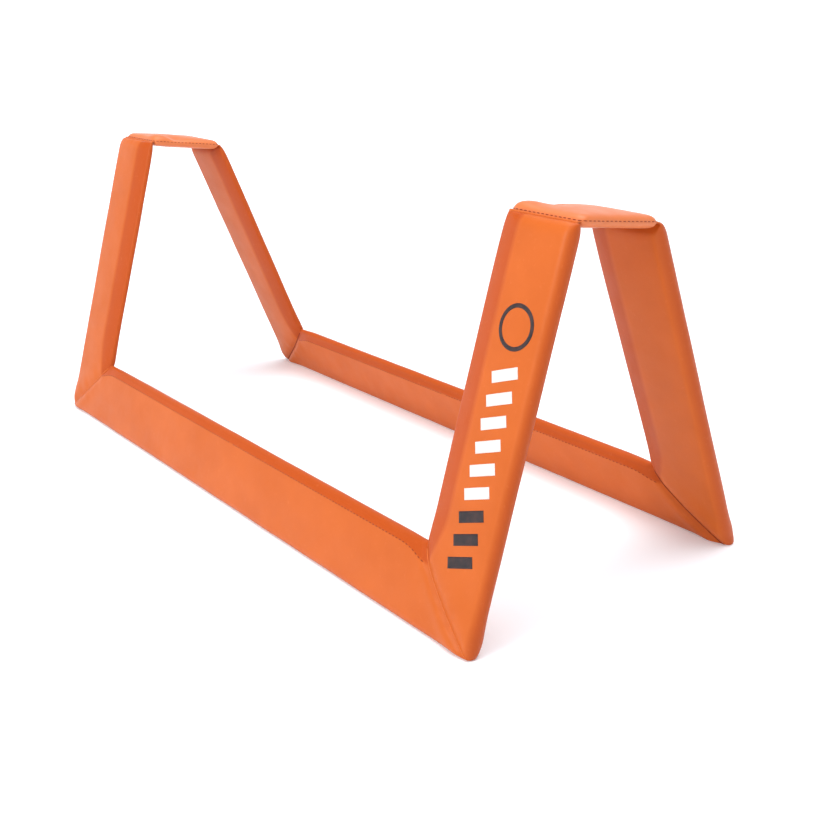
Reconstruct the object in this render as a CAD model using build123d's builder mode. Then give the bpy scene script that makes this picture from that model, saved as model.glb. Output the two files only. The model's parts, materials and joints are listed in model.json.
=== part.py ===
"""Folding padded training frame: two U-shaped frames that lean together under two padded caps.

Each U-shaped frame is a rail on the floor and two legs. Every bar is a sewn vinyl sleeve around two
foam layers and a flat slat. The sleeves are mitred at the bottom corners, where a riveted plate ties
the rail slat to the leg slat. At each end a cap joins the two frames, with a sewn hinge on either edge.
The hinge axes lie on the middle planes of legs and caps, whose ends are bevelled on the side they fold to.

+X runs along the rails, +Y from the front frame to the back frame, +Z up. The origin is on the floor,
in the middle of the standing frame. All sizes are in millimetres.
"""

import os
from math import asin, cos, radians, sin, sqrt, tan

from build123d import *

os.makedirs("parts", exist_ok=True)

# Overall sizes. Opened flat, two slope lengths and the cap length make a square with the frame length.
frame_length = 762.0
slope_length = 336.5
cap_length = 89.0

# Rest pose: how far each frame leans from the vertical.
front_lean = 16.7
back_lean = 22.4

# Padded bars. Each bar tapers towards the side that faces the opening of its frame.
leg_width = 77.0
rail_width = 71.0
pad_thickness = 16.0
leg_strip_width = 22.0
rail_strip_width = 8.0
strip_drop = 4.0
outer_edge_radius = 6.5
inner_edge_roundness = 0.9
top_edge_radius = 5.0
cover_wall = 1.0

# Caps: how far they reach above and below the plane of the two hinge axes.
cap_width = 75.0
cap_rise = 8.0
cap_drop = 6.0
cap_edge_radius = 4.5
cap_corner_radius = 8.0

# Slats, corner plates and rivets.
slat_width = 40.0
slat_thickness = 4.0
slat_top_gap = 10.0
plate_width = 32.0
plate_thickness = 1.6
plate_arm = 100.0
rivet_radius = 2.4
rivet_head_radius = 4.5
rivet_head_height = 1.2
rivet_spacing = 34.0

# Hinges: the gap lies between the hinge axis and the pad on either side of it.
hinge_gap = 1.2
seam_radius = 0.9
seam_web = 1.2
seam_inset = 5.0

# Print on a leg's outer face: a dark ring, then light and dark slanted bars, in a row down the leg.
print_thickness = 0.2
print_top_gap = 84.0
print_ring_radius = 18.0
print_ring_width = 3.4
print_bar_length = 27.0
print_bar_width = 9.0
print_bar_pitch = 18.5
print_bar_slant = 20.0
light_bar_count = 6
dark_bar_count = 3

# Worked out from the sizes above.
half_length = frame_length / 2
front_height = slope_length * cos(radians(front_lean))
back_height = slope_length * cos(radians(back_lean))
middle = -pad_thickness / 2
inner_edge_radius = inner_edge_roundness * (pad_thickness / 2 - strip_drop)
front_run = slope_length * sin(radians(front_lean)) - middle / cos(radians(front_lean))
back_run = slope_length * sin(radians(back_lean)) - middle / cos(radians(back_lean))
cap_tilt = asin((front_height - back_height) / cap_length)
depth = front_run + cap_length * cos(cap_tilt) + back_run
front_hinge_y = front_run - depth / 2
leg_middle = half_length - leg_width / 2
rail_middle = rail_width / 2
print_middle = leg_middle + (leg_strip_width - outer_edge_radius) / 2
bevel_gap = hinge_gap * sqrt(2)


def frame_face(outward, foot_y, lean):
    """A frame's outer face: local x along the rail, local y up the slope, local z outward."""
    normal = (0, outward * cos(radians(lean)), sin(radians(lean)))
    return Plane(origin=(0, foot_y, 0), x_dir=(-outward, 0, 0), z_dir=normal)


front_face = frame_face(-1, -depth / 2, front_lean)
back_face = frame_face(1, depth / 2, back_lean)
cap_face = Plane(
    origin=(0, front_hinge_y, front_height),
    x_dir=(1, 0, 0),
    z_dir=(0, sin(cap_tilt), cos(cap_tilt)),
)
cap_up = Axis(cap_face.origin, cap_face.z_dir)


def plane_on(face, point, x_dir, z_dir):
    """A plane whose origin and directions are given in another plane's own coordinates."""
    along = face.x_dir * x_dir[0] + face.y_dir * x_dir[1] + face.z_dir * x_dir[2]
    normal = face.x_dir * z_dir[0] + face.y_dir * z_dir[1] + face.z_dir * z_dir[2]
    return Plane(origin=face.from_local_coords(Vector(*point)), x_dir=along, z_dir=normal)


def hinge_level(lean):
    """How far up a frame's outer face its hinge axis is."""
    return slope_length - middle * tan(radians(lean))


def save(piece, name):
    """Label a finished piece and write it to its own file."""
    piece.part.label = name
    export_step(piece.part, f"parts/{name}.step")


def mirrored(piece):
    """The same piece at the other end of the frame."""
    with BuildPart() as twin:
        mirror(piece.part, about=Plane.YZ)
    return twin


def mitre(face, end):
    """The plane of the corner seam at one end of the rail, with the leg on its positive side."""
    corner = (end * half_length, 0, 0)
    return plane_on(face, corner, (0, 0, 1), (end * rail_width, leg_width, 0))


# Padded bars. An envelope is a bar's outer shape or, with an inset, the space inside its cover.


def leg_envelope(face, lean, inset):
    """A leg between the corner seam, the floor and its closed, bevelled top end."""
    level = hinge_level(lean)
    section = plane_on(face, (half_length - leg_width, level, 0), (1, 0, 0), (0, -1, 0))
    side = plane_on(face, (half_length, level, middle), (0, -1, 0), (-1, 0, 0))
    with BuildPart() as leg:
        with BuildSketch(section):
            with BuildLine():
                Polyline(
                    (0, -strip_drop),
                    (leg_strip_width, 0),
                    (leg_width, 0),
                    (leg_width, -pad_thickness),
                    (leg_strip_width, -pad_thickness),
                    (0, strip_drop - pad_thickness),
                    close=True,
                )
            make_face()
            fillet(vertices().group_by(Axis.X)[-1], outer_edge_radius)
            fillet(vertices().group_by(Axis.X)[0], inner_edge_radius)
            if inset:
                offset(amount=-inset, kind=Kind.INTERSECTION, mode=Mode.REPLACE)
        extrude(amount=level)
        with BuildSketch(side):
            with BuildLine():
                Polyline(
                    (hinge_gap, -middle),
                    (hinge_gap, bevel_gap - hinge_gap),
                    (bevel_gap - middle, middle),
                    (2 * level, middle),
                    (2 * level, -middle),
                    close=True,
                )
            make_face()
            fillet(vertices().sort_by_distance((hinge_gap, -middle))[0], top_edge_radius)
            if inset:
                offset(amount=-inset, kind=Kind.INTERSECTION, mode=Mode.REPLACE)
        extrude(amount=leg_width, mode=Mode.INTERSECT)
        split(bisect_by=mitre(face, 1), keep=Keep.TOP)
        split(bisect_by=Plane.XY.offset(inset), keep=Keep.TOP)
    return leg


def rail_envelope(face, lean, inset):
    """A rail between its two corner seams, flat underneath where it rests on the floor."""
    floor_rise = pad_thickness * tan(radians(lean))
    section = plane_on(face, (half_length, rail_width, 0), (0, -1, 0), (-1, 0, 0))
    with BuildPart() as rail:
        with BuildSketch(section):
            with BuildLine():
                Polyline(
                    (0, -strip_drop),
                    (rail_strip_width, 0),
                    (rail_width, 0),
                    (rail_width - floor_rise, -pad_thickness),
                    (rail_strip_width, -pad_thickness),
                    (0, strip_drop - pad_thickness),
                    close=True,
                )
            make_face()
            fillet(vertices().group_by(Axis.X)[0], inner_edge_radius)
            if inset:
                offset(amount=-inset, kind=Kind.INTERSECTION, mode=Mode.REPLACE)
        extrude(amount=frame_length)
        split(bisect_by=mitre(face, 1), keep=Keep.BOTTOM)
        split(bisect_by=mitre(face, -1), keep=Keep.BOTTOM)
    return rail


def cap_envelope(inset):
    """The cap at the right end: rounded corners, a rolled upper edge and bevels over the legs."""
    side = plane_on(cap_face, (leg_middle - cap_width / 2, 0, 0), (0, 1, 0), (1, 0, 0))
    with BuildPart() as cap:
        with BuildSketch(cap_face.offset(inset - cap_drop)):
            with Locations((leg_middle, cap_length / 2)):
                RectangleRounded(
                    cap_width - 2 * inset,
                    cap_length - 2 * hinge_gap - 2 * inset,
                    cap_corner_radius - inset,
                )
        extrude(amount=cap_rise + cap_drop - 2 * inset)
        fillet(faces().sort_by(cap_up)[-1].edges(), cap_edge_radius - inset)
        with BuildSketch(side):
            with BuildLine():
                Polyline(
                    (hinge_gap, cap_rise),
                    (hinge_gap, bevel_gap - hinge_gap),
                    (cap_drop + bevel_gap, -cap_drop),
                    (cap_length - cap_drop - bevel_gap, -cap_drop),
                    (cap_length - hinge_gap, bevel_gap - hinge_gap),
                    (cap_length - hinge_gap, cap_rise),
                    close=True,
                )
            make_face()
            if inset:
                offset(amount=-inset, kind=Kind.INTERSECTION, mode=Mode.REPLACE)
        extrude(amount=cap_width, mode=Mode.INTERSECT)
    return cap


def sleeve(outside, inside):
    """A cover: the outer shape less the space inside it."""
    with BuildPart() as cover:
        add(outside.part)
        add(inside.part, mode=Mode.SUBTRACT)
    return cover


def foam_layer(inside, parting_plane, keep, hard_pieces):
    """Half of the space inside a cover, on one side of the slat, with pockets for the hard pieces."""
    with BuildPart() as foam:
        add(inside.part)
        split(bisect_by=parting_plane, keep=keep)
        for piece in hard_pieces:
            add(piece.part, mode=Mode.SUBTRACT)
    return foam


# Slats, corner plates and rivets, which lie on the middle plane of the bars.


def rivet_points(end):
    """Rivet centres at one corner: one on the shared corner, two up the leg and two along the rail."""
    on_leg = [(end * leg_middle, rail_middle + slat_width / 2 + rivet_spacing * n / 2) for n in (1, 2)]
    on_rail = [(end * (leg_middle - rivet_spacing * n), rail_middle) for n in (0, 1, 2)]
    return on_leg + on_rail


def rail_slat(face):
    """A flat slat that ends in line with the outer edges of the leg slats."""
    with BuildPart() as slat:
        with BuildSketch(face.offset(middle - slat_thickness / 2)):
            with Locations((0, rail_middle)):
                Rectangle(2 * leg_middle + slat_width, slat_width)
            with Locations(*rivet_points(1), *rivet_points(-1)):
                Circle(rivet_radius, mode=Mode.SUBTRACT)
        extrude(amount=slat_thickness)
    return slat


def leg_slat(face, lean):
    """A flat slat that stands on the rail slat and stops short of the leg's top."""
    foot = rail_middle + slat_width / 2
    length = hinge_level(lean) - slat_top_gap - foot
    with BuildPart() as slat:
        with BuildSketch(face.offset(middle - slat_thickness / 2)):
            with Locations((leg_middle, foot + length / 2)):
                Rectangle(slat_width, length)
            with Locations(*rivet_points(1)):
                Circle(rivet_radius, mode=Mode.SUBTRACT)
        extrude(amount=slat_thickness)
    return slat


def corner_plate(face):
    """An L-shaped plate on the inner side of the slats."""
    reach = plate_arm - plate_width / 2
    with BuildPart() as plate:
        with BuildSketch(face.offset(middle - slat_thickness / 2)):
            with Locations((leg_middle + plate_width / 2 - plate_arm / 2, rail_middle)):
                Rectangle(plate_arm, plate_width)
            with Locations((leg_middle, rail_middle + reach / 2)):
                Rectangle(plate_width, reach)
            with Locations(*rivet_points(1)):
                Circle(rivet_radius, mode=Mode.SUBTRACT)
        extrude(amount=-plate_thickness)
    return plate


def corner_rivets(face):
    """Rivets through slats and plate, with a flat head on either side."""
    outer_side = middle + slat_thickness / 2
    inner_side = middle - slat_thickness / 2 - plate_thickness
    with BuildPart() as rivets:
        with BuildSketch(face.offset(inner_side)):
            with Locations(*rivet_points(1)):
                Circle(rivet_radius)
        extrude(amount=outer_side - inner_side)
        with BuildSketch(face.offset(outer_side)):
            with Locations(*rivet_points(1)):
                Circle(rivet_head_radius)
        extrude(amount=rivet_head_height)
        with BuildSketch(face.offset(inner_side)):
            with Locations(*rivet_points(1)):
                Circle(rivet_head_radius)
        extrude(amount=-rivet_head_height)
    return rivets


def bar_places(lean, first, count):
    """Where the printed bars of one colour go, counted down the leg from the ring."""
    top = hinge_level(lean) - print_top_gap - print_ring_radius
    rows = [top - print_bar_pitch * n for n in range(first, first + count)]
    return [Location((print_middle, row, 0), (0, 0, print_bar_slant)) for row in rows]


def light_print(face, lean):
    """The light bars."""
    with BuildPart() as bars:
        with BuildSketch(face):
            with Locations(*bar_places(lean, 1, light_bar_count)):
                Rectangle(print_bar_length, print_bar_width)
        extrude(amount=print_thickness)
    return bars


def dark_print(face, lean):
    """The ring above the light bars and the dark bars below them."""
    with BuildPart() as bars:
        with BuildSketch(face):
            with Locations((print_middle, hinge_level(lean) - print_top_gap)):
                Circle(print_ring_radius)
                Circle(print_ring_radius - print_ring_width, mode=Mode.SUBTRACT)
            with Locations(*bar_places(lean, 1 + light_bar_count, dark_bar_count)):
                Rectangle(print_bar_length, print_bar_width)
        extrude(amount=print_thickness)
    return bars


def build_frame(name, face, lean, plus_side, minus_side):
    """Every piece of one U-shaped frame. The sides name the ends at the face's own +x and -x."""
    parting_plane = face.offset(middle)
    leg_space = leg_envelope(face, lean, cover_wall)
    rail_space = rail_envelope(face, lean, cover_wall)
    slat_along = rail_slat(face)
    slat_up = leg_slat(face, lean)
    plate = corner_plate(face)
    rivets = corner_rivets(face)
    plate_twin = mirrored(plate)
    rivets_twin = mirrored(rivets)
    slat_up_twin = mirrored(slat_up)
    leg_hard = [slat_along, slat_up, plate, rivets]
    rail_hard = [slat_along, slat_up, slat_up_twin, plate, plate_twin, rivets, rivets_twin]

    save(sleeve(rail_envelope(face, lean, 0), rail_space), f"{name}_rail_cover")
    save(foam_layer(rail_space, parting_plane, Keep.TOP, rail_hard), f"{name}_rail_outer_foam")
    save(foam_layer(rail_space, parting_plane, Keep.BOTTOM, rail_hard), f"{name}_rail_inner_foam")
    save(slat_along, f"{name}_rail_slat")

    leg = {
        "leg_cover": sleeve(leg_envelope(face, lean, 0), leg_space),
        "leg_outer_foam": foam_layer(leg_space, parting_plane, Keep.TOP, leg_hard),
        "leg_inner_foam": foam_layer(leg_space, parting_plane, Keep.BOTTOM, leg_hard),
        "leg_slat": slat_up,
        "corner_plate": plate,
        "corner_rivets": rivets,
    }
    for piece_name, piece in leg.items():
        save(piece, f"{name}_{plus_side}_{piece_name}")
        save(mirrored(piece), f"{name}_{minus_side}_{piece_name}")

    save(light_print(face, lean), f"{name}_light_print")
    save(dark_print(face, lean), f"{name}_dark_print")


build_frame("front", front_face, front_lean, "right", "left")
build_frame("back", back_face, back_lean, "left", "right")


# Caps, each on a slat between two foam layers, and the stitched seams that hinge them to the legs.


def cap_slat():
    """A flat slat that runs from front to back inside the cap."""
    with BuildPart() as slat:
        with BuildSketch(cap_face.offset(-slat_thickness / 2)):
            with Locations((leg_middle, cap_length / 2)):
                Rectangle(slat_width, cap_length - 2 * slat_top_gap)
        extrude(amount=slat_thickness)
    return slat


def hinge_seam(along, inward):
    """A rolled seam on a hinge axis, with a narrow web to the cap's end."""
    section = plane_on(cap_face, (leg_middle, along, 0), (0, inward, 0), (inward, 0, 0))
    with BuildPart() as seam:
        with BuildSketch(section):
            Circle(seam_radius)
            with Locations((hinge_gap / 2, seam_web / 2)):
                Rectangle(hinge_gap, seam_web)
        extrude(amount=cap_width / 2 - seam_inset, both=True)
    return seam


def build_caps():
    """Both caps with what is in them, and the four hinge seams."""
    space = cap_envelope(cover_wall)
    slat = cap_slat()
    pieces = {
        "cap_cover": sleeve(cap_envelope(0), space),
        "cap_upper_foam": foam_layer(space, cap_face, Keep.TOP, [slat]),
        "cap_lower_foam": foam_layer(space, cap_face, Keep.BOTTOM, [slat]),
        "cap_slat": slat,
        "front_hinge_seam": hinge_seam(0, 1),
        "back_hinge_seam": hinge_seam(cap_length, -1),
    }
    for piece_name, piece in pieces.items():
        save(piece, f"right_{piece_name}")
        save(mirrored(piece), f"left_{piece_name}")


build_caps()
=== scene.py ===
"""Looks of the folding padded training frame: sewn vinyl pads, seams, stitches, hinges and print.

Everything is in metres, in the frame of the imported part. A bar's pad is a loft of rings: each ring
goes round the bar, from the side that faces the frame's opening, over the outer face, round the
outer edge and back along the inner face. Rails and legs share their rings at the corner seams.
"""

import json
from math import atan2, cos, exp, pi, radians, sin, sqrt

import bmesh
import bpy
from mathutils import Matrix, Vector, noise
from mathutils.bvhtree import BVHTree
from mathutils.kdtree import KDTree


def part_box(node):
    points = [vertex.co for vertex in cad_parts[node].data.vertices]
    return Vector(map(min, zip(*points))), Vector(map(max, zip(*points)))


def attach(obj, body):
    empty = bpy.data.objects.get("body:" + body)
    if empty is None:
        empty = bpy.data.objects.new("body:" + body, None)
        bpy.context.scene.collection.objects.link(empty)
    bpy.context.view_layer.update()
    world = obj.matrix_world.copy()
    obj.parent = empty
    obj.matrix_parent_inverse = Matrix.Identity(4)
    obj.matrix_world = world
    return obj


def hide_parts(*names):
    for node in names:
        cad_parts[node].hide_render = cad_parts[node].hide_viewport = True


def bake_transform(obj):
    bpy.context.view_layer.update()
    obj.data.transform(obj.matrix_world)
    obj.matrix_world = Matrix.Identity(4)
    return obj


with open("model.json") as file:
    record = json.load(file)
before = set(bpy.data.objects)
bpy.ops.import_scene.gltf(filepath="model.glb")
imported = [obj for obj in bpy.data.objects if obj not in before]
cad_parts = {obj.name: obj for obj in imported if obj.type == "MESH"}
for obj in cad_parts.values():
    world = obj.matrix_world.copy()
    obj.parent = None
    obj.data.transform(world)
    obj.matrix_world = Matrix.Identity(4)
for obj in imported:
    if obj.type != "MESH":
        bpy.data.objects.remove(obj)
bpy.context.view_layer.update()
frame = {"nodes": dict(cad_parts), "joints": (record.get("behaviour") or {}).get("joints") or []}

# Bars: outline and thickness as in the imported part, strips and hinge gap as the sewn covers show them.
LEG_LOW, LEG_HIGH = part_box("front_right_leg_cover")
HALF_LENGTH = LEG_HIGH.x
LEG_WIDTH = LEG_HIGH.x - LEG_LOW.x
RAIL_WIDTH = 0.071
PAD = 0.016
LEG_STRIP = 0.024
RAIL_STRIP = 0.009
LEG_DROP = 0.0046
RAIL_DROP = 0.0026
HINGE_GAP = 0.0010

# How the covers are drawn over the foam.
LEG_CROWN = 0.0006
RAIL_CROWN = 0.0014
STRIP_BULGE = 0.0005
SEAM_SQUEEZE = 0.0026
OUTER_SQUEEZE = 0.0015
SEAM_REACH = 0.0050
SEAM_BOW = 0.0042
SEAM_FADE = 0.030
CREASE_FADE = 0.042
TIP_RADIUS = 0.0070
TIP_PUFF = 0.0022
TOP_REACH = 0.013
TOP_LEFT = 0.20
TOP_DRAW = 0.0018
TOP_RINGS = (0.0130, 0.0108, 0.0086, 0.0066, 0.0048, 0.0033, 0.0021, 0.0012, 0.0005, 0.0)

# How many steps each stretch of a half section has, and how long a ring-to-ring step is.
INNER_STEPS = 4
STRIP_STEPS = 4
FACE_STEPS = 10
OUTER_STEPS = 5
CREASE_AT = INNER_STEPS + STRIP_STEPS
HALF_COUNT = INNER_STEPS + STRIP_STEPS + FACE_STEPS + OUTER_STEPS + 1
RING_COUNT = 2 * HALF_COUNT - 2
RING_STEP = 0.0048
SEAM_STATIONS = (0.0, 0.0010, 0.0022, 0.0038, 0.0060, 0.0090, 0.0128)

# Stitches.
STITCH_PITCH = 0.0046
STITCH_LENGTH = 0.0033
THREAD_RADIUS = 0.00034
STITCH_SIDES = 6

# Corner seams: a welt on the outer face, a thread line on the inner one.
TUBE_SIDES = 8
WELT_RADIUS = 0.00065
WELT_TIP_RADIUS = 0.0003
CORNER_THREAD_RADIUS = 0.0006


def lerp(a, b, t):
    return a + (b - a) * t


def smooth(t):
    t = min(max(t, 0.0), 1.0)
    return t * t * (3 - 2 * t)


# Sections and frames.


def half_section(width, strip, drop, crown):
    """Points (across, out) over one face, from the middle of the opening side to that of the outer one."""
    half = PAD / 2
    small = half - drop
    turn = radians(80)
    points = []
    for n in range(INNER_STEPS):
        angle = turn * n / INNER_STEPS
        points.append((small * (1 - cos(angle)), small * sin(angle) - half))
    edge = (small * (1 - cos(turn)), small * sin(turn) - half)
    for n in range(STRIP_STEPS):
        t = n / STRIP_STEPS
        points.append((lerp(edge[0], strip, t), lerp(edge[1], 0, t) + STRIP_BULGE * sin(pi * t)))
    for n in range(FACE_STEPS):
        t = n / FACE_STEPS
        points.append((lerp(strip, width - half, t), crown * sin(pi * t)))
    for n in range(OUTER_STEPS + 1):
        angle = radians(90) * n / OUTER_STEPS
        points.append((width - half + half * sin(angle), half * cos(angle) - half))
    return points


def ring_section(width, strip, drop, crown):
    """The whole ring as (share of the width, out): the outer face, then the inner one back again."""
    outer = half_section(width, strip, drop, crown)
    inner = [(across, -PAD - out) for across, out in reversed(outer[1:-1])]
    return [(across / width, out) for across, out in outer + inner]


LEG_SECTION = ring_section(LEG_WIDTH, LEG_STRIP, LEG_DROP, LEG_CROWN)
RAIL_SECTION = ring_section(RAIL_WIDTH, RAIL_STRIP, RAIL_DROP, RAIL_CROWN)
SEAM_SECTION = [
    (lerp(leg[0], rail[0], 0.6), lerp(leg[1], rail[1], 0.5))
    for leg, rail in zip(LEG_SECTION, RAIL_SECTION)
]


class SlopedFrame:
    """One U-shaped frame, with a point on its outer face given along x, up the slope and outward."""

    def __init__(self, name, outward):
        joint = next(j for j in frame["joints"] if j["child"] == f"{name}_frame")
        low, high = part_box(f"{name}_rail_cover")
        self.name = name
        self.body = f"{name}_frame"
        self.hinge = Vector(joint["pos_m"])
        self.foot = Vector((0, low.y if outward < 0 else high.y, 0))
        rise = self.hinge - self.foot
        self.slope = sqrt(rise.length_squared - PAD**2 / 4)
        lean = atan2(-outward * rise.y, rise.z) - atan2(PAD / 2, self.slope)
        self.up = Vector((0, -outward * sin(lean), cos(lean)))
        self.out = Vector((0, outward * cos(lean), sin(lean)))
        self.top = self.slope - HINGE_GAP

    def point(self, x, v, w):
        place = self.foot + self.up * v + self.out * w
        place.x = x
        place.z = max(place.z, 0.0)
        return place


FRONT = SlopedFrame("front", -1)
BACK = SlopedFrame("back", 1)


def rounded_tip(x, v):
    """Draws the square corner of the outline in to a round tip."""
    side = 1 if x > 0 else -1
    p = 1 - (HALF_LENGTH - abs(x)) / TIP_RADIUS
    q = 1 - v / TIP_RADIUS
    if p <= 0 or q <= 0:
        return x, v
    round_p = p * sqrt(1 - q * q / 2)
    round_q = q * sqrt(1 - p * p / 2)
    return side * (HALF_LENGTH - TIP_RADIUS * (1 - round_p)), TIP_RADIUS * (1 - round_q)


def seam_shift(share, side, bow):
    """How far the corner seam bows off its straight line, towards the rail, at a share of its length."""
    share = min(max(share, 0.0), 1.0)
    length = sqrt(LEG_WIDTH**2 + RAIL_WIDTH**2)
    size = bow * sin(pi * share**0.6)
    return -side * size * RAIL_WIDTH / length, -size * LEG_WIDTH / length


def corner_bow(sloped, side, out):
    """Each corner's seam bows a little differently, and less on the inner face."""
    wander = 0.0009 * noise.noise(Vector((side * 3.1, sloped.foot.y * 40, 1.7)))
    return (SEAM_BOW if out > -PAD / 2 else SEAM_BOW * 0.9) + wander


def squeezed(out, distance, tip_distance):
    """The pad is thin at a corner seam and a little puffed just beside it and at the tip."""
    middle = -PAD / 2
    share = (out - middle) / (PAD / 2)
    pull = (OUTER_SQUEEZE if share > 0 else SEAM_SQUEEZE) * exp(-((distance / SEAM_REACH) ** 2))
    puff = TIP_PUFF * exp(-((distance / 0.016 - 1) ** 2) * 2) * exp(-((tip_distance / 0.06) ** 2))
    return middle + share * (PAD / 2 - pull + puff)


def pinched(out, below_top):
    """The pad thins to a flat sewn end under its hinge, and is bevelled on the side it folds to."""
    middle = -PAD / 2
    share = min(below_top / TOP_REACH, 1.0)
    keep = TOP_LEFT + (1 - TOP_LEFT) * sqrt(1 - (1 - share) ** 2)
    offset = (out - middle) * keep
    if offset < 0:
        offset = max(offset, -(0.0009 + 0.92 * below_top))
    return middle + offset


def bar_point(sloped, kind, side, index, distance):
    """A point of a bar's cover, at a distance from its corner seam along the bar."""
    own = (LEG_SECTION if kind == "leg" else RAIL_SECTION)[index]
    seam = SEAM_SECTION[index]
    near = 1 - smooth(distance / CREASE_FADE)
    share = lerp(own[0], seam[0], near)
    out = lerp(own[1], seam[1], near)
    start_x = HALF_LENGTH - LEG_WIDTH * (1 - seam[0])
    start_v = RAIL_WIDTH * (1 - seam[0])
    if kind == "leg":
        v = start_v + distance
        drawn = TOP_DRAW * exp(-max(sloped.top - v, 0) / 0.022) * (1 - share)
        x = side * (HALF_LENGTH - LEG_WIDTH * (1 - share) + drawn)
        out = pinched(out, max(sloped.top - v, 0))
    else:
        x = side * (start_x - distance)
        v = RAIL_WIDTH * (1 - share)
    shift = seam_shift(seam[0], side, corner_bow(sloped, side, seam[1]))
    fade = 1 - smooth(distance / SEAM_FADE)
    x, v = rounded_tip(x + shift[0] * fade, v + shift[1] * fade)
    tip = Vector((HALF_LENGTH - abs(x), v)).length
    return sloped.point(x, v, squeezed(out, distance, tip))


# Mesh helpers.


def new_object(name, mesh):
    piece = bpy.data.objects.new(name, mesh)
    bpy.context.scene.collection.objects.link(piece)
    return piece


def loft(name, rings, crease_lines=()):
    """A mesh through rings of equal count, with quads between them."""
    mesh = bmesh.new()
    crease = mesh.edges.layers.float.new("crease_edge")
    rows = [[mesh.verts.new(point) for point in ring] for ring in rings]
    count = len(rows[0])
    for row, following in zip(rows, rows[1:]):
        for n in range(count):
            after = (n + 1) % count
            mesh.faces.new((row[n], row[after], following[after], following[n]))
    for row, following in zip(rows, rows[1:]):
        for n in crease_lines:
            edge = mesh.edges.get((row[n], following[n]))
            edge[crease] = 0.55
    bmesh.ops.recalc_face_normals(mesh, faces=mesh.faces)
    data = bpy.data.meshes.new(name)
    mesh.to_mesh(data)
    mesh.free()
    data.shade_smooth()
    # The tone attribute carries painted shade, read by the vinyl material.
    tone = data.attributes.new("tone", "FLOAT", "POINT")
    for index, item in enumerate(tone.data):
        item.value = ring_painted_shade(index % count)
    return new_object(name, data)


def ring_painted_shade(n):
    """How much painted shade a point of the ring gets: most on the opening-side strip, some round the outer
    edge.
    """
    if n < CREASE_AT or n > RING_COUNT - CREASE_AT:
        return 1.0
    from_edge = abs(n - HALF_COUNT + 1)
    return min(1.0, 1.6 - from_edge * 0.4) if from_edge < 4 else 0.0


def stations(length, fine_start, fine_end):
    """Distances along a bar: close together beside a seam, and even between."""
    start = list(SEAM_STATIONS) if fine_start else [0.0]
    end = [length - s for s in reversed(SEAM_STATIONS)] if fine_end else [length]
    gap = end[0] - start[-1]
    steps = max(round(gap / RING_STEP), 1)
    between = [start[-1] + gap * n / steps for n in range(1, steps)]
    return start + between + end


def leg_rings(sloped, side):
    """Rings from the corner seam up to the flat sewn top, which closes on the middle plane."""
    mean = sloped.top - TOP_REACH - RAIL_WIDTH / 2
    rings = []
    for station in stations(mean, True, False)[:-1]:
        ring = []
        for n in range(RING_COUNT):
            start_v = RAIL_WIDTH * (1 - SEAM_SECTION[n][0])
            length = sloped.top - TOP_REACH - start_v
            ring.append(bar_point(sloped, "leg", side, n, station * length / mean))
        rings.append(ring)
    for below_top in TOP_RINGS:
        ring = []
        for n in range(RING_COUNT):
            start_v = RAIL_WIDTH * (1 - SEAM_SECTION[n][0])
            ring.append(bar_point(sloped, "leg", side, n, sloped.top - below_top - start_v))
        rings.append(ring)
    last = []
    for place in rings[-1]:
        offset = (place - sloped.foot).dot(sloped.out) + PAD / 2
        last.append(place - sloped.out * offset)
    return rings + [last]


def rail_rings(sloped):
    """Rings from the right corner seam to the left one."""
    mean = 2 * (HALF_LENGTH - LEG_WIDTH / 2)
    rings = []
    for station in stations(mean, True, True):
        ring = []
        for n in range(RING_COUNT):
            length = 2 * (HALF_LENGTH - LEG_WIDTH * (1 - SEAM_SECTION[n][0]))
            distance = station * length / mean
            if distance <= length / 2:
                ring.append(bar_point(sloped, "rail", 1, n, distance))
            else:
                ring.append(bar_point(sloped, "rail", -1, n, length - distance))
        rings.append(ring)
    return rings


# Cloth: the covers are blown out a little between their seams.


PUFF_FRAMES = 20
PUFF_PRESSURE = 4.0
BAR_PUFF_LIMIT = 0.0018
CAP_PUFF_LIMIT = 0.0035
HELD_TOP_RINGS = 7
CREASE_LINES = (CREASE_AT, RING_COUNT - CREASE_AT)


def set_pins(piece, weight_of):
    """Puts each vertex's hold, from 0 free to 1 fixed, in the group that the cloth reads."""
    group = piece.vertex_groups.new(name="pin")
    for vertex in piece.data.vertices:
        group.add([vertex.index], weight_of(vertex.index), "REPLACE")


def blow_out(pieces):
    """Cloth simulation of all covers at once. pieces is a list of (object, furthest move)."""
    for piece, _ in pieces:
        cloth = piece.modifiers.new("cloth", "CLOTH")
        settings = cloth.settings
        settings.quality = 6
        settings.mass = 0.25
        settings.tension_stiffness = 25
        settings.compression_stiffness = 25
        settings.shear_stiffness = 12
        settings.bending_stiffness = 1.5
        settings.use_pressure = True
        settings.uniform_pressure_force = PUFF_PRESSURE
        settings.vertex_group_mass = "pin"
        settings.pin_stiffness = 1.2
        settings.effector_weights.gravity = 0
        cloth.collision_settings.use_collision = False
        cloth.point_cache.frame_start = 1
        cloth.point_cache.frame_end = PUFF_FRAMES
    scene = bpy.context.scene
    for number in range(1, PUFF_FRAMES + 1):
        scene.frame_set(number)
    graph = bpy.context.evaluated_depsgraph_get()
    for piece, furthest in pieces:
        blown = [v.co.copy() for v in piece.evaluated_get(graph).data.vertices]
        piece.modifiers.clear()
        piece.vertex_groups.clear()
        for vertex, place in zip(piece.data.vertices, blown):
            move = place - vertex.co
            if move.length > furthest:
                move *= furthest / move.length
            vertex.co += move
            vertex.co.z = max(vertex.co.z, 0.0)
    scene.frame_set(1)


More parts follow.
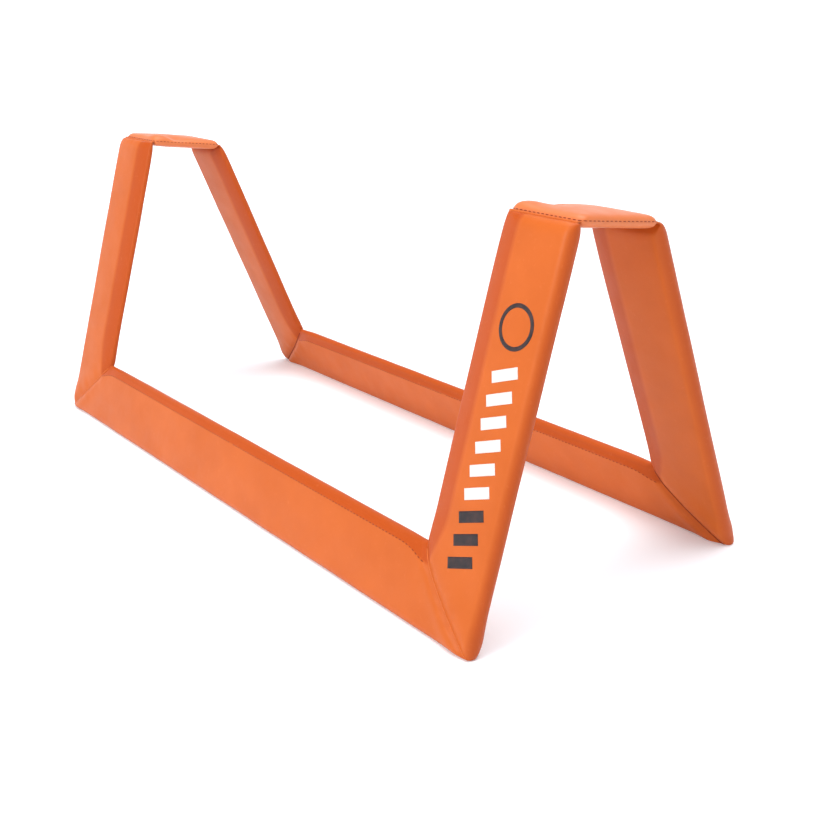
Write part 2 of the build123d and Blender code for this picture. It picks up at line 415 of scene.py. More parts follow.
def subdivided(piece):
    """One applied level of subdivision, so that what follows moves the final vertices."""
    modifier = piece.modifiers.new("subdivision", "SUBSURF")
    modifier.levels = 1
    modifier.render_levels = 1
    graph = bpy.context.evaluated_depsgraph_get()
    finer = bpy.data.meshes.new_from_object(piece.evaluated_get(graph))
    piece.modifiers.clear()
    piece.data = finer
    finer.shade_smooth()


def surface_of(piece):
    mesh = piece.data
    return BVHTree.FromPolygons([v.co for v in mesh.vertices], [p.vertices for p in mesh.polygons])


def bar_pad(sloped, kind, side_name, side):
    """One bar's cover with its foam, ready for the cloth simulation."""
    if kind == "leg":
        name = f"{sloped.name}_{side_name}_leg"
        rings = leg_rings(sloped, side)
        fixed_end = len(rings) - HELD_TOP_RINGS
    else:
        name = f"{sloped.name}_rail"
        rings = rail_rings(sloped)
        fixed_end = len(rings) - 1
    piece = loft(f"{name}_pad", rings, CREASE_LINES)
    last = len(rings)

    def hold(index):
        ring, n = divmod(index, RING_COUNT)
        if ring == 0 or ring >= fixed_end:
            return 1.0
        beside = min(ring, last - ring if kind == "rail" else last)
        if n in CREASE_LINES:
            return 0.9
        return 0.35 if beside > 2 else 0.1

    set_pins(piece, hold)
    if kind == "leg":
        join_middle(piece)
    covers = [f"{name}_cover", f"{name}_outer_foam", f"{name}_inner_foam"]
    return piece, covers


def join_middle(piece):
    """Joins the two sides of the last ring, which meet on the section's middle line."""
    mesh = bmesh.new()
    mesh.from_mesh(piece.data)
    mesh.verts.ensure_lookup_table()
    bmesh.ops.remove_doubles(mesh, verts=mesh.verts[-RING_COUNT:], dist=0.0002)
    mesh.to_mesh(piece.data)
    mesh.free()


# Caps.

CAP_STEPS = (16, 19, 8)
CAP_WIDTH = 0.0764
CAP_MIDDLE = LEG_WIDTH / 2
CAP_RISE = 0.0056
CAP_DROP = 0.0050
CAP_CROWN = 0.0014
CAP_ROLL = 0.0070
CAP_CORNER = 0.0075
# How firmly each level of the cap is held: fixed at the seam at half height, loosest on top.
CAP_HOLDS = {4: 1.0, 3: 0.5, 5: 0.5, 8: 0.06}


class CapFrame:
    """The plane of the two hinge axes, from the front one to the back one. Both caps are centred on it."""

    def __init__(self):
        self.length = (BACK.hinge - FRONT.hinge).length
        self.along = (BACK.hinge - FRONT.hinge).normalized()
        self.up = Vector((1, 0, 0)).cross(self.along)

    def point(self, x, along, height):
        place = FRONT.hinge + self.along * along + self.up * height
        place.x = x
        return place


CAPS = CapFrame()


def box_grid(steps, place_of):
    """The surface of a box of cells. place_of turns (i, j, k) into a point."""
    mesh = bmesh.new()
    corners = {}
    nx, ny, nz = steps

    def corner(key):
        if key not in corners:
            corners[key] = mesh.verts.new(place_of(*key))
        return corners[key]

    def face(keys):
        mesh.faces.new([corner(key) for key in keys])

    for i in range(nx):
        for j in range(ny):
            for k in (0, nz):
                face([(i, j, k), (i + 1, j, k), (i + 1, j + 1, k), (i, j + 1, k)])
    for k in range(nz):
        for i in range(nx):
            for j in (0, ny):
                face([(i, j, k), (i + 1, j, k), (i + 1, j, k + 1), (i, j, k + 1)])
        for j in range(ny):
            for i in (0, nx):
                face([(i, j, k), (i, j + 1, k), (i, j + 1, k + 1), (i, j, k + 1)])
    bmesh.ops.recalc_face_normals(mesh, faces=mesh.faces)
    return mesh


def cap_point(middle_x, steps, i, j, k):
    """A point of the cap's cover, from its place in the grid of cells. The seam is at half height."""
    s = 2 * i / steps[0] - 1
    t = 2 * j / steps[1] - 1
    s = lerp(s, sin(s * pi / 2), 0.4)
    t = lerp(t, sin(t * pi / 2), 0.4)
    turn = (k / steps[2] - 0.5) * pi
    inset = CAP_ROLL * (1 - cos(turn))
    half_x = CAP_WIDTH / 2 - inset
    half_y = CAPS.length / 2 - HINGE_GAP - inset
    corner = max(CAP_CORNER - inset * 0.5, 0.004)
    x = abs(s) * half_x
    y = abs(t) * half_y
    p = 1 - (half_x - x) / corner
    q = 1 - (half_y - y) / corner
    if p > 0 and q > 0:
        x = half_x - corner * (1 - p * sqrt(1 - q * q / 2))
        y = half_y - corner * (1 - q * sqrt(1 - p * p / 2))
    x = x if s > 0 else -x
    y = y if t > 0 else -y
    crown = CAP_CROWN * (1 - s * s) * (1 - t * t)
    height = sin(turn) * (CAP_RISE if turn > 0 else CAP_DROP)
    height += crown if k == steps[2] else (-crown if k == 0 else 0)
    bevel = HINGE_GAP + max(-height, 0) * 1.05
    along = min(max(CAPS.length / 2 + y, bevel), CAPS.length - bevel)
    return CAPS.point(middle_x + x, along, height)


def cap_pad(side_name, side):
    """One cap's cover with its foam, ready for the cloth simulation."""
    middle_x = side * (HALF_LENGTH - CAP_MIDDLE)
    keys = []

    def place_of(i, j, k):
        keys.append(k)
        return cap_point(middle_x, CAP_STEPS, i, j, k)

    mesh = box_grid(CAP_STEPS, place_of)
    crease = mesh.edges.layers.float.new("crease_edge")
    mesh.verts.index_update()
    for edge in mesh.edges:
        if keys[edge.verts[0].index] == keys[edge.verts[1].index] == CAP_STEPS[2] // 2:
            edge[crease] = 0.8
    name = f"{side_name}_cap"
    data = bpy.data.meshes.new(f"{name}_pad")
    mesh.to_mesh(data)
    mesh.free()
    data.shade_smooth()
    piece = new_object(f"{name}_pad", data)
    set_pins(piece, lambda index: CAP_HOLDS.get(keys[index], 0.2))
    covers = [f"{name}_cover", f"{name}_upper_foam", f"{name}_lower_foam"]
    return piece, covers


# Creases and puckers that a sewn cover has beside its seams.


def unevenness(place, cell, seed):
    return noise.noise(Vector((place.x / cell + seed, place.y / cell, place.z / cell)))


def push_out(piece, amount_of):
    """Moves vertices along their normals, none at an open seam, and none into the floor."""
    mesh = bmesh.new()
    mesh.from_mesh(piece.data)
    seam = [vertex.co.copy() for vertex in mesh.verts if vertex.is_boundary]
    tree = KDTree(max(len(seam), 1))
    for n, place in enumerate(seam):
        tree.insert(place, n)
    tree.balance()
    moves = []
    for vertex in mesh.verts:
        distance = tree.find(vertex.co)[2] if seam else 1.0
        hold = smooth(distance / 0.005)
        moves.append(vertex.normal * amount_of(vertex.co, distance) * hold)
    for vertex, move in zip(mesh.verts, moves):
        vertex.co += move
        vertex.co.z = max(vertex.co.z, 0.0)
    if seam:
        bmesh.ops.holes_fill(mesh, edges=[e for e in mesh.edges if e.is_boundary], sides=0)
    mesh.to_mesh(piece.data)
    mesh.free()
    piece.data.shade_smooth()


def bar_unevenness(sloped):
    """Slow waves all over, and puckers beside the corner seams and under the hinge seams."""
    seed = sloped.foot.y * 30

    def amount(place, seam_distance):
        x = abs(place.x)
        v = (place - sloped.foot).dot(sloped.up)
        along = (HALF_LENGTH - x) * 0.72 + v * 0.69
        across = (HALF_LENGTH - x) * 0.69 - v * 0.72
        near_seam = exp(-(((seam_distance - 0.007) / 0.008) ** 2))
        near_top = exp(-(sloped.top - v) / 0.011) if x > HALF_LENGTH - LEG_WIDTH - 0.001 else 0
        seam_pucker = unevenness(Vector((along, across * 0.25, 0)), 0.0085, seed)
        top_pucker = unevenness(Vector((place.x, v * 0.25, 0)), 0.0078, seed + 3)
        slow = unevenness(place, 0.055, seed)
        return 0.0003 * slow + 0.0006 * seam_pucker * near_seam + 0.00045 * top_pucker * near_top

    return amount


def cap_unevenness(side):
    """Puckers beside the seam, and one soft fold with a dent behind it at the inner front corner."""

    def amount(place, _):
        local = place - FRONT.hinge
        along = local.dot(CAPS.along)
        height = local.dot(CAPS.up)
        low = exp(-abs(height) / 0.004)
        pucker = unevenness(Vector((place.x, along, height * 0.2)), 0.0075, side * 5.0)
        slow = unevenness(place, 0.030, side * 2.0)
        inner_x = side * (HALF_LENGTH - LEG_WIDTH + 0.012)
        corner = exp(-(((place.x - inner_x) / 0.011) ** 2) - ((along - 0.011) / 0.011) ** 2)
        dent_x = side * (HALF_LENGTH - LEG_WIDTH + 0.010)
        dent = exp(-(((place.x - dent_x) / 0.014) ** 2) - ((along - 0.032) / 0.009) ** 2)
        top = smooth(height / CAP_RISE)
        return 0.0004 * slow + 0.0005 * pucker * low + (0.0020 * corner - 0.0034 * dent) * top

    return amount


# Seams, stitches, hinges.


def tube(name, path, radius_of, up):
    """A closed round tube along a path of points, kept above the floor."""
    mesh = bmesh.new()
    rows = []
    last = len(path) - 1
    for n, place in enumerate(path):
        tangent = (path[min(n + 1, last)] - path[max(n - 1, 0)]).normalized()
        side = tangent.cross(up).normalized()
        lift = side.cross(tangent).normalized()
        radius = radius_of(n / last)
        row = []
        for k in range(TUBE_SIDES):
            angle = 2 * pi * k / TUBE_SIDES
            point = place + side * radius * cos(angle) + lift * radius * sin(angle)
            point.z = max(point.z, 0.0)
            row.append(mesh.verts.new(point))
        rows.append(row)
    for row, following in zip(rows, rows[1:]):
        for k in range(TUBE_SIDES):
            after = (k + 1) % TUBE_SIDES
            mesh.faces.new((row[k], row[after], following[after], following[k]))
    mesh.faces.new(rows[0])
    mesh.faces.new(list(reversed(rows[-1])))
    bmesh.ops.recalc_face_normals(mesh, faces=mesh.faces)
    data = bpy.data.meshes.new(name)
    mesh.to_mesh(data)
    mesh.free()
    data.shade_smooth()
    return new_object(name, data)


def walk(points, pitch):
    """Points a pitch apart along a path, each with the direction of travel."""
    found = []
    carried = pitch / 2
    for start, end in zip(points, points[1:]):
        step = (end - start).length
        direction = (end - start).normalized() if step > 0 else Vector((1, 0, 0))
        at = carried
        while at < step:
            found.append((start + direction * at, direction))
            at += pitch
        carried = at - step
    return found


def add_stitch(mesh, place, direction, normal):
    """One thread stitch: a short tube whose ends dip into the cover."""
    side = direction.cross(normal).normalized()
    profile = ((-0.5, 0.15, -0.9), (-0.36, 0.8, 0.0), (0.0, 1.0, 0.45), (0.36, 0.8, 0.0), (0.5, 0.15, -0.9))
    rows = []
    for along, size, lift in profile:
        centre = place + direction * STITCH_LENGTH * along + normal * THREAD_RADIUS * lift
        row = []
        for k in range(STITCH_SIDES):
            angle = 2 * pi * k / STITCH_SIDES
            offset = side * cos(angle) + normal * sin(angle)
            row.append(mesh.verts.new(centre + offset * THREAD_RADIUS * size))
        rows.append(row)
    for row, following in zip(rows, rows[1:]):
        for k in range(STITCH_SIDES):
            after = (k + 1) % STITCH_SIDES
            mesh.faces.new((row[k], row[after], following[after], following[k]))
    mesh.faces.new(rows[0])
    mesh.faces.new(list(reversed(rows[-1])))


def stitches(name, paths, surface):
    """Rows of stitches along paths, laid on a surface."""
    mesh = bmesh.new()
    for path in paths:
        for place, direction in walk(path, STITCH_PITCH):
            spot, normal, _, _ = surface.find_nearest(place)
            flat = (direction - normal * direction.dot(normal)).normalized()
            add_stitch(mesh, spot, flat, normal)
    bmesh.ops.recalc_face_normals(mesh, faces=mesh.faces)
    data = bpy.data.meshes.new(name)
    mesh.to_mesh(data)
    mesh.free()
    data.shade_smooth()
    return new_object(name, data)


def crease_path(sloped, kind, side, index, start, end):
    """A line of a bar's cover, along the crease, from one distance from its corner seam to another."""
    steps = 60
    beside = index - 1 if index < HALF_COUNT else index + 1
    path = []
    for n in range(steps + 1):
        distance = lerp(start, end, n / steps)
        on_crease = bar_point(sloped, kind, side, index, distance)
        on_strip = bar_point(sloped, kind, side, beside, distance)
        path.append(on_crease.lerp(on_strip, 0.3))
    return path


def seam_path(sloped, side, first, last):
    """The corner seam, from one place on the ring to another."""
    return [bar_point(sloped, "leg", side, n, 0.0) for n in range(first, last + 1)]


def hinge_web(sloped, side_name, side):
    """The strip that is sewn to cap and leg, made as one fixed piece folded round the hinge axis."""
    half_width = CAP_WIDTH / 2 - 0.0022
    middle_x = side * (HALF_LENGTH - CAP_MIDDLE)
    into_cap = CAPS.along * (-1 if sloped is BACK else 1)
    outside = (sloped.up - into_cap).normalized()
    ways = [into_cap * d for d in (0.0048, 0.0030, 0.0016, 0.0007)]
    ways += [outside * 0.0002] + [sloped.up * -d for d in (0.0007, 0.0016, 0.0032, 0.0050)]
    lifts = [CAPS.up] * 4 + [outside] + [sloped.out] * 4
    steps = 36
    mesh = bmesh.new()
    layers = []
    for depth in (0.00045, -0.00045):
        grid = []
        for way, lift in zip(ways, lifts):
            line = []
            for n in range(steps + 1):
                x = middle_x + lerp(-half_width, half_width, n / steps)
                ripple = 0.0002 * noise.noise(Vector((x / 0.006, way.length / 0.004, sloped.foot.y)))
                place = sloped.hinge + way + lift * (depth + ripple)
                place.x = x
                line.append(mesh.verts.new(place))
            grid.append(line)
        layers.append(grid)
    for grid in layers:
        for row, following in zip(grid, grid[1:]):
            for n in range(steps):
                mesh.faces.new((row[n], row[n + 1], following[n + 1], following[n]))
    top, under = layers
    for row in (0, len(ways) - 1):
        for n in range(steps):
            mesh.faces.new((top[row][n], top[row][n + 1], under[row][n + 1], under[row][n]))
    for n in (0, steps):
        for row in range(len(ways) - 1):
            mesh.faces.new((top[row][n], top[row + 1][n], under[row + 1][n], under[row][n]))
    bmesh.ops.recalc_face_normals(mesh, faces=mesh.faces)
    name = f"{side_name}_{sloped.name}_hinge"
    data = bpy.data.meshes.new(f"{name}_web")
    mesh.to_mesh(data)
    mesh.free()
    data.shade_smooth()
    piece = new_object(f"{name}_web", data)
    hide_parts(f"{name}_seam")
    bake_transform(piece)
    return piece


# Print: thin ink patches laid on the leg's outer face.

INK = 0.00012
PRINT_TOP_GAP = 0.084
RING_RADIUS = 0.018
RING_WIDTH = 0.0034
BAR_LENGTH = 0.027
BAR_WIDTH = 0.009
BAR_PITCH = 0.0185
BAR_SLANT = radians(20)
LIGHT_BARS = 6
DARK_BARS = 3


def bar_patch(centre, steps=(14, 5)):
    """Rows of (across, up) points over one slanted bar."""
    rows = []
    for j in range(steps[1] + 1):
        row = []
        for i in range(steps[0] + 1):
            a = BAR_LENGTH * (i / steps[0] - 0.5)
            b = BAR_WIDTH * (j / steps[1] - 0.5)
            x = centre[0] + a * cos(BAR_SLANT) - b * sin(BAR_SLANT)
            row.append((x, centre[1] + a * sin(BAR_SLANT) + b * cos(BAR_SLANT)))
        rows.append(row)
    return rows


def ring_patch(centre, steps=48):
    """Rows of (across, up) points round a ring."""
    rows = []
    for radius in (RING_RADIUS - RING_WIDTH, RING_RADIUS - RING_WIDTH / 2, RING_RADIUS):
        row = []
        for n in range(steps + 1):
            angle = 2 * pi * n / steps
            row.append((centre[0] + radius * cos(angle), centre[1] + radius * sin(angle)))
        rows.append(row)
    return rows


def ink(name, sloped, side, patches, surface):
    """Patches of ink with a small real thickness, laid on the cover."""
    mesh = bmesh.new()
    for rows in patches:
        grids = []
        for lift in (INK, -INK):
            grid = []
            for row in rows:
                line = []
                for across, v in row:
                    above = sloped.point(side * across, v, 0.02)
                    spot, _, _, _ = surface.ray_cast(above, -sloped.out)
                    line.append(mesh.verts.new(spot + sloped.out * lift))
                grid.append(line)
            grids.append(grid)
        top, under = grids
        for grid in grids:
            for row, following in zip(grid, grid[1:]):
                for n in range(len(row) - 1):
                    mesh.faces.new((row[n], row[n + 1], following[n + 1], following[n]))
        for row, below in ((top[0], under[0]), (top[-1], under[-1])):
            for n in range(len(row) - 1):
                mesh.faces.new((row[n], row[n + 1], below[n + 1], below[n]))
        for n in (0, -1):
            for j in range(len(top) - 1):
                mesh.faces.new((top[j][n], top[j + 1][n], under[j + 1][n], under[j][n]))
    bmesh.ops.remove_doubles(mesh, verts=mesh.verts, dist=0.00002)
    bmesh.ops.recalc_face_normals(mesh, faces=mesh.faces)
    data = bpy.data.meshes.new(name)
    mesh.to_mesh(data)
    mesh.free()
    data.shade_smooth()
    return new_object(name, data)


def cap_seam_path(side):
    """The row of stitches just above the seam round a cap."""
    middle_x = side * (HALF_LENGTH - CAP_MIDDLE)
    nx, ny = 48, 56
    edge = [(i, 0) for i in range(nx)] + [(nx, j) for j in range(ny)]
    edge += [(i, ny) for i in range(nx, 0, -1)] + [(0, j) for j in range(ny, -1, -1)]
    return [cap_point(middle_x, (nx, ny, 16), i, j, 9) for i, j in edge]


# Materials.


class Paint:
    """A Principled material and short ways to add nodes to it. Scales are in metres."""

    def __init__(self, name):
        self.material = bpy.data.materials.new(name)
        self.material.use_nodes = True
        self.nodes = self.material.node_tree.nodes
        self.links = self.material.node_tree.links
        self.shader = self.nodes["Principled BSDF"]
        self.place = self.nodes.new("ShaderNodeTexCoord").outputs["Object"]

    def set(self, **values):
        for name, value in values.items():
            self.shader.inputs[name.replace("_", " ")].default_value = value

    def noise(self, cell, detail=2.0, roughness=0.5):
        node = self.nodes.new("ShaderNodeTexNoise")
        node.inputs["Scale"].default_value = 1 / cell
        node.inputs["Detail"].default_value = detail
        node.inputs["Roughness"].default_value = roughness
        self.links.new(self.place, node.inputs["Vector"])
        return node.outputs["Fac"]

    def cells(self, cell):
        node = self.nodes.new("ShaderNodeTexVoronoi")
        node.feature = "DISTANCE_TO_EDGE"
        node.inputs["Scale"].default_value = 1 / cell
        self.links.new(self.place, node.inputs["Vector"])
        return node.outputs["Distance"]

    def fit(self, value, low, high, to_low, to_high):
        node = self.nodes.new("ShaderNodeMapRange")
        for name, amount in (("From Min", low), ("From Max", high), ("To Min", to_low), ("To Max", to_high)):
            node.inputs[name].default_value = amount
        self.links.new(value, node.inputs["Value"])
        return node.outputs["Result"]

    def ramp(self, value, *stops):
        node = self.nodes.new("ShaderNodeValToRGB")
        for n, (position, colour) in enumerate(stops):
            stop = node.color_ramp.elements[n] if n < 2 else node.color_ramp.elements.new(position)
            stop.position = position
            stop.color = (*colour, 1)
        self.links.new(value, node.inputs["Fac"])
        return node.outputs["Color"]

    def mix(self, factor, first, second):
        node = self.nodes.new("ShaderNodeMix")
        node.data_type = "RGBA"
        for name, value in (("Factor", factor), ("A", first), ("B", second)):
            socket = next(i for i in node.inputs if i.name == name and (name == "Factor" or i.type == "RGBA"))
            if isinstance(value, bpy.types.NodeSocket):
                self.links.new(value, socket)
            else:
                socket.default_value = value if name == "Factor" else (*value, 1)
        return next(o for o in node.outputs if o.type == "RGBA")

    def edges(self):
        """How convex the surface is here, about 0.5 where it is flat."""
        return self.nodes.new("ShaderNodeNewGeometry").outputs["Pointiness"]

    def attribute(self, name):
        node = self.nodes.new("ShaderNodeAttribute")
        node.attribute_name = name
        return node.outputs["Fac"]

    def bump(self, height, distance, strength=1.0, before=None):
        node = self.nodes.new("ShaderNodeBump")
        node.inputs["Strength"].default_value = strength
        node.inputs["Distance"].default_value = distance
        self.links.new(height, node.inputs["Height"])
        if before is not None:
            self.links.new(before, node.inputs["Normal"])
        return node.outputs["Normal"]

    def wear(self, colour, roughness, normal=None):
        for value, name in ((colour, "Base Color"), (roughness, "Roughness"), (normal, "Normal")):
            if value is not None:
                self.links.new(value, self.shader.inputs[name])
        return self.material


def vinyl_material(name, coat, gloss, painted_sheen):
    """Satin coated vinyl: fine leather grain, slow colour drift, painted shade on the opening-side strip,
    round the outer edge and in creases, lighter worn edges, and a pale painted sheen mixed in all over by the
    last argument.
    """
    paint = Paint(name)
    drift = paint.noise(0.045, 3.0)
    body = paint.ramp(drift, (0.25, VINYL_LOW), (0.75, VINYL_HIGH))
    # Painted sheen: the whole surface is paled by the given amount; the caps use it.
    body = paint.mix(painted_sheen, body, VINYL_WEAR_AND_SHEEN)
    # Painted shade from the tone attribute: the opening-side strip and the outer edge are darkened.
    body = paint.mix(paint.fit(paint.attribute("tone"), 0.0, 1.0, 0.0, 0.85), body, VINYL_SIDE_SHADE)
    worn = paint.fit(paint.edges(), 0.505, 0.56, 0.0, 0.30)
    body = paint.mix(worn, body, VINYL_WEAR_AND_SHEEN)
    # Painted shade: hollow places, creases and seam valleys, are darkened.
    painted_crease_shade = paint.fit(paint.edges(), 0.44, 0.495, 0.55, 0.0)
    body = paint.mix(painted_crease_shade, body, VINYL_CREASE_SHADE)
    scuff = paint.fit(paint.noise(0.004, 4.0, 0.6), 0.60, 0.78, 0.0, 0.16)
    body = paint.mix(scuff, body, VINYL_WEAR_AND_SHEEN)
    roughness = paint.fit(paint.noise(0.020, 4.0), 0.3, 0.7, 0.37, 0.47)
    grain = paint.bump(paint.cells(0.0011), 0.00005, 0.55)
    pores = paint.bump(paint.noise(0.0006, 3.0), 0.00003, 0.5, grain)
    drape = paint.bump(paint.noise(0.013, 2.0, 0.45), 0.00028, 0.5, pores)
    paint.set(Coat_Weight=coat, Coat_Roughness=0.45, IOR=1.45, Specular_IOR_Level=gloss)
    return paint.wear(body, roughness, drape)


def thread_material(colour):
    paint = Paint("thread")
    twist = paint.noise(0.0004, 2.0)
    tone = paint.mix(twist, colour, tuple(c * 0.6 for c in colour))
    paint.set(Sheen_Weight=0.03, Specular_IOR_Level=0.2)
    return paint.wear(tone, paint.fit(twist, 0.3, 0.7, 0.5, 0.7), paint.bump(twist, 0.0001, 0.8))


def ink_material(name, colour, faded):
    """Screen-printed ink: a slightly uneven film that shows the vinyl's grain."""
    paint = Paint(name)
    mottle = paint.noise(0.006, 5.0, 0.6)
    tone = paint.mix(paint.fit(mottle, 0.35, 0.75, 0.0, 1.0), colour, faded)
    roughness = paint.fit(paint.noise(0.003, 3.0), 0.3, 0.7, 0.42, 0.60)
    grain = paint.bump(paint.cells(0.0011), 0.00004, 0.5)
    paint.set(Specular_IOR_Level=0.25)
    return paint.wear(tone, roughness, grain)


def plastic_material(name, colour):
    paint = Paint(name)
    haze = paint.noise(0.010, 5.0)
    tone = paint.mix(haze, colour, tuple(c * 1.25 for c in colour))
    roughness = paint.fit(haze, 0.3, 0.7, 0.45, 0.62)
    return paint.wear(tone, roughness, paint.bump(paint.noise(0.0005, 3.0), 0.00002, 0.5))


def aluminium_material(name, shade):
    paint = Paint(name)
    brushed = paint.noise(0.0008, 6.0, 0.7)
    tone = paint.mix(brushed, (shade,) * 3, (shade * 0.8,) * 3)
    paint.set(Metallic=1.0)
    return paint.wear(tone, paint.fit(brushed, 0.3, 0.7, 0.30, 0.45), paint.bump(brushed, 0.00002, 0.4))


def floor_material(name, glow):
    paint = Paint(name)
    paint.set(Emission_Color=(0.88, 0.95, 1, 1), Emission_Strength=glow)
    tone = paint.mix(paint.noise(0.6, 3.0), FLOOR_COLOUR, tuple(c * 0.99 for c in FLOOR_COLOUR))
    return paint.wear(tone, paint.fit(paint.noise(0.05, 3.0), 0.3, 0.7, 0.80, 0.88))


VINYL_LOW = (0.50, 0.097, 0.011)
VINYL_HIGH = (0.56, 0.115, 0.016)
# Colour of the painted shade on the opening-side strip and outer edge.
VINYL_SIDE_SHADE = (0.42, 0.058, 0.003)
# Pale colour of worn edges and scuffs, and of the caps' painted sheen.
VINYL_WEAR_AND_SHEEN = (0.70, 0.20, 0.07)
# Colour of the painted shade in creases.
VINYL_CREASE_SHADE = (0.33, 0.035, 0.004)
THREAD = (0.27, 0.032, 0.006)
FLOOR_COLOUR = (0.90, 0.915, 0.94)
PAPER = (0.74, 0.72, 0.70)
BLACK = (0.020, 0.016, 0.018)


# The parts, put together.


def painted(piece, material):
    piece.data.materials.clear()
    piece.data.materials.append(material)
    return piece


def make_pads():
    """Makes all eight pads, blown out, subdivided and uneven. Returns the surface of each, by name."""
    pads = {}
    for sloped in (FRONT, BACK):
        for side_name, side in (("right", 1), ("left", -1)):
            piece, covers = bar_pad(sloped, "leg", side_name, side)
            pads[piece.name] = (piece, covers, sloped.body, bar_unevenness(sloped), BAR_PUFF_LIMIT)
        piece, covers = bar_pad(sloped, "rail", "", 0)
        pads[piece.name] = (piece, covers, sloped.body, bar_unevenness(sloped), BAR_PUFF_LIMIT)
    for side_name, side in (("right", 1), ("left", -1)):
        piece, covers = cap_pad(side_name, side)
        pads[piece.name] = (piece, covers, "caps", cap_unevenness(side), CAP_PUFF_LIMIT)
    blow_out([(piece, furthest) for piece, _, _, _, furthest in pads.values()])
    for piece, covers, body, uneven, _ in pads.values():
        subdivided(piece)
        push_out(piece, uneven)
        painted(piece, CAP_VINYL if body == "caps" else VINYL)
        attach(piece, body)
        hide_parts(*covers)
    return {name: surface_of(pad[0]) for name, pad in pads.items()}


def detail(piece, body, slot_name, material):
    painted(piece, material)
    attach(piece, body)
    return piece


def bar_details(sloped, surfaces):
    """Corner welts and every row of stitches on one frame."""
    rail = surfaces[f"{sloped.name}_rail_pad"]
    length = 2 * (HALF_LENGTH - LEG_WIDTH * (1 - RAIL_STRIP / RAIL_WIDTH))
    rows = []
    for index in CREASE_LINES:
        for side in (1, -1):
            rows.append(crease_path(sloped, "rail", side, index, 0.006, length / 2))
    piece = stitches(f"{sloped.name}_rail_stitches", rows, rail)
    detail(piece, sloped.body, "vinyl", STITCH)
    for side_name, side in (("right", 1), ("left", -1)):
        path = seam_path(sloped, side, INNER_STEPS, HALF_COUNT - 3)
        welt = tube(
            f"{sloped.name}_{side_name}_corner_welt",
            path,
            lambda t: lerp(WELT_RADIUS, WELT_TIP_RADIUS, t),
            sloped.out,
        )
        detail(welt, sloped.body, "vinyl", VINYL)
        path = seam_path(sloped, side, HALF_COUNT + 1, RING_COUNT - INNER_STEPS)
        thread = tube(
            f"{sloped.name}_{side_name}_corner_thread",
            path,
            lambda t: CORNER_THREAD_RADIUS,
            sloped.out,
        )
        detail(thread, sloped.body, "vinyl", STITCH)


def cap_details(side_name, side, surfaces):
    surface = surfaces[f"{side_name}_cap_pad"]
    rows = stitches(f"{side_name}_cap_stitches", [cap_seam_path(side)], surface)
    detail(rows, "caps", "vinyl", STITCH)


def print_on(sloped, side_name, side, surfaces):
    """A ring and six light bars under it, then three dark bars."""
    surface = surfaces[f"{sloped.name}_{side_name}_leg_pad"]
    middle = HALF_LENGTH - LEG_WIDTH / 2 + (LEG_STRIP - PAD / 2) / 2
    ring_v = sloped.slope - PRINT_TOP_GAP
    bars = []
    for n in range(LIGHT_BARS + DARK_BARS):
        centre = (middle, ring_v - RING_RADIUS - BAR_PITCH * (n + 1))
        bars.append(bar_patch(centre))
    light = ink(f"{sloped.name}_light_ink", sloped, side, bars[:LIGHT_BARS], surface)
    ring = [ring_patch((middle, ring_v))]
    dark = ink(f"{sloped.name}_dark_ink", sloped, side, ring + bars[LIGHT_BARS:], surface)
    detail(light, sloped.body, "light_print", LIGHT_INK)
    detail(dark, sloped.body, "dark_print", DARK_INK)
    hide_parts(f"{sloped.name}_light_print")
    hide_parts(f"{sloped.name}_dark_print")


def paint_hidden_nodes():
    """Slats, plates and rivets stay as they were packed, inside the pads."""
    finishes = {
        "slat": plastic_material("slat", (0.05, 0.05, 0.055)),
        "plate": aluminium_material("plate", 0.80),
        "rivets": aluminium_material("rivet", 0.86),
    }
    for name, node in frame["nodes"].items():
        for ending, material in finishes.items():
            if name.endswith(ending):
                painted(node, material)


LATHE_STEPS = 72


def lathe(name, rings, middle=None):
    """A surface of rings round the vertical axis, closed in the middle if it starts there."""
    mesh = bmesh.new()
    centre = mesh.verts.new((0, 0, middle)) if middle is not None else None
    previous = None
    for radius, height in rings:
        row = []
        for n in range(LATHE_STEPS):
            angle = 2 * pi * n / LATHE_STEPS
            row.append(mesh.verts.new((radius * cos(angle), radius * sin(angle), height)))
        for n in range(LATHE_STEPS):
            after = (n + 1) % LATHE_STEPS
            if previous:
                mesh.faces.new((previous[n], row[n], row[after], previous[after]))
            elif centre:
                mesh.faces.new((centre, row[n], row[after]))
        previous = row
    data = bpy.data.meshes.new(name)
    mesh.to_mesh(data)
    mesh.free()
    data.shade_smooth()
    return new_object(name, data)


def make_floor():
    """A pale disc, and a backdrop that glows softly and rises far away."""
    floor = painted(lathe("floor", [(0.6, -0.0002), (1.2, -0.0002), (1.8, -0.0002)], -0.0002), FLOOR)
    rings = [(1.8, -0.0002), (3.6, 0.02), (4.6, 0.2), (5.4, 0.7), (5.9, 1.5), (6.1, 2.6)]
    backdrop = painted(lathe("backdrop", rings), BACKDROP)


def area_light(name, place, aim, size, power, colour):
    data = bpy.data.lights.new(name, "AREA")
    data.shape = "DISK"
    data.size = size
    data.energy = power
    data.color = colour
    light = new_object(name, data)
    light.location = place
    light.rotation_euler = (Vector(aim) - Vector(place)).to_track_quat("-Z", "Y").to_euler()


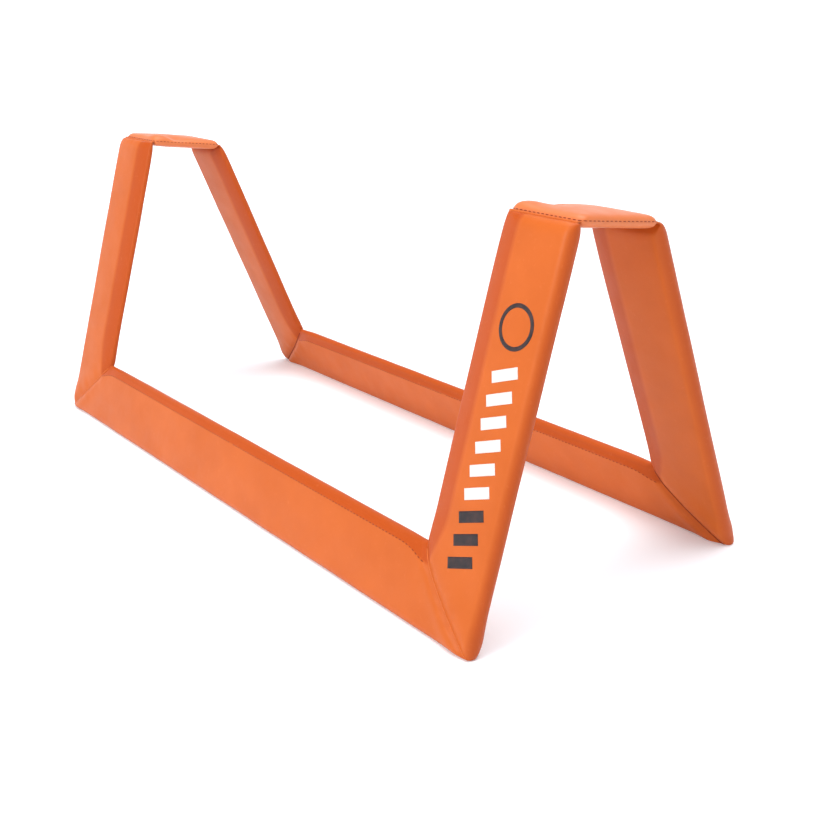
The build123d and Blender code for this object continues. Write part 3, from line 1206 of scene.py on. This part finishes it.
def make_studio():
    world = bpy.data.worlds.new("studio")
    bpy.context.scene.world = world
    world.use_nodes = True
    background = world.node_tree.nodes["Background"]
    background.inputs["Color"].default_value = (0.95, 0.97, 1.0, 1)
    background.inputs["Strength"].default_value = 0.38
    area_light("key", (0.25, -2.3, 1.5), (0.1, 0, 0.1), 1.1, 30, (1.0, 0.985, 0.965))
    area_light("top", (0.0, 0.3, 3.0), (0, 0.3, 0.0), 3.4, 112, (0.97, 0.985, 1.0))
    bpy.context.scene.view_settings.view_transform = "Standard"
    bpy.context.scene.view_settings.look = "None"


# The photograph's viewing angle, with angles in degrees and the lens in millimetres on a 36 mm sensor.
CAMERA_PLACE = (0.9431, -0.6489, 0.4700)
CAMERA_HEADING = 52.5
CAMERA_PITCH = 70.46
CAMERA_ROLL = -0.67
CAMERA_LENS = 50.12


def make_camera():
    data = bpy.data.cameras.new("camera")
    data.sensor_width = 36
    data.lens = CAMERA_LENS
    data.clip_start = 0.01
    data.clip_end = 60
    camera = new_object("camera", data)
    turn = Matrix.Rotation(radians(CAMERA_HEADING), 4, "Z") @ Matrix.Rotation(radians(CAMERA_PITCH), 4, "X")
    turn = turn @ Matrix.Rotation(radians(CAMERA_ROLL), 4, "Z")
    camera.matrix_world = Matrix.Translation(CAMERA_PLACE) @ turn
    bpy.context.scene.camera = camera


VINYL = vinyl_material("vinyl", 0.01, 0.20, 0.0)
# The caps' vinyl is a paler copy with painted sheen all over.
CAP_VINYL = vinyl_material("cap_vinyl", 0.12, 0.32, 0.55)
STITCH = thread_material(THREAD)
LIGHT_INK = ink_material("light_ink", PAPER, (0.70, 0.60, 0.55))
DARK_INK = ink_material("dark_ink", BLACK, (0.060, 0.030, 0.028))
FLOOR = floor_material("floor", 0.16)
BACKDROP = floor_material("backdrop", 0.55)

SURFACES = make_pads()
for one_frame in (FRONT, BACK):
    bar_details(one_frame, SURFACES)
    for side_label, side_sign in (("right", 1), ("left", -1)):
        painted(hinge_web(one_frame, side_label, side_sign), VINYL)
for side_label, side_sign in (("right", 1), ("left", -1)):
    cap_details(side_label, side_sign, SURFACES)
print_on(FRONT, "right", 1, SURFACES)
print_on(BACK, "left", -1, SURFACES)
paint_hidden_nodes()
make_floor()
make_studio()
make_camera()
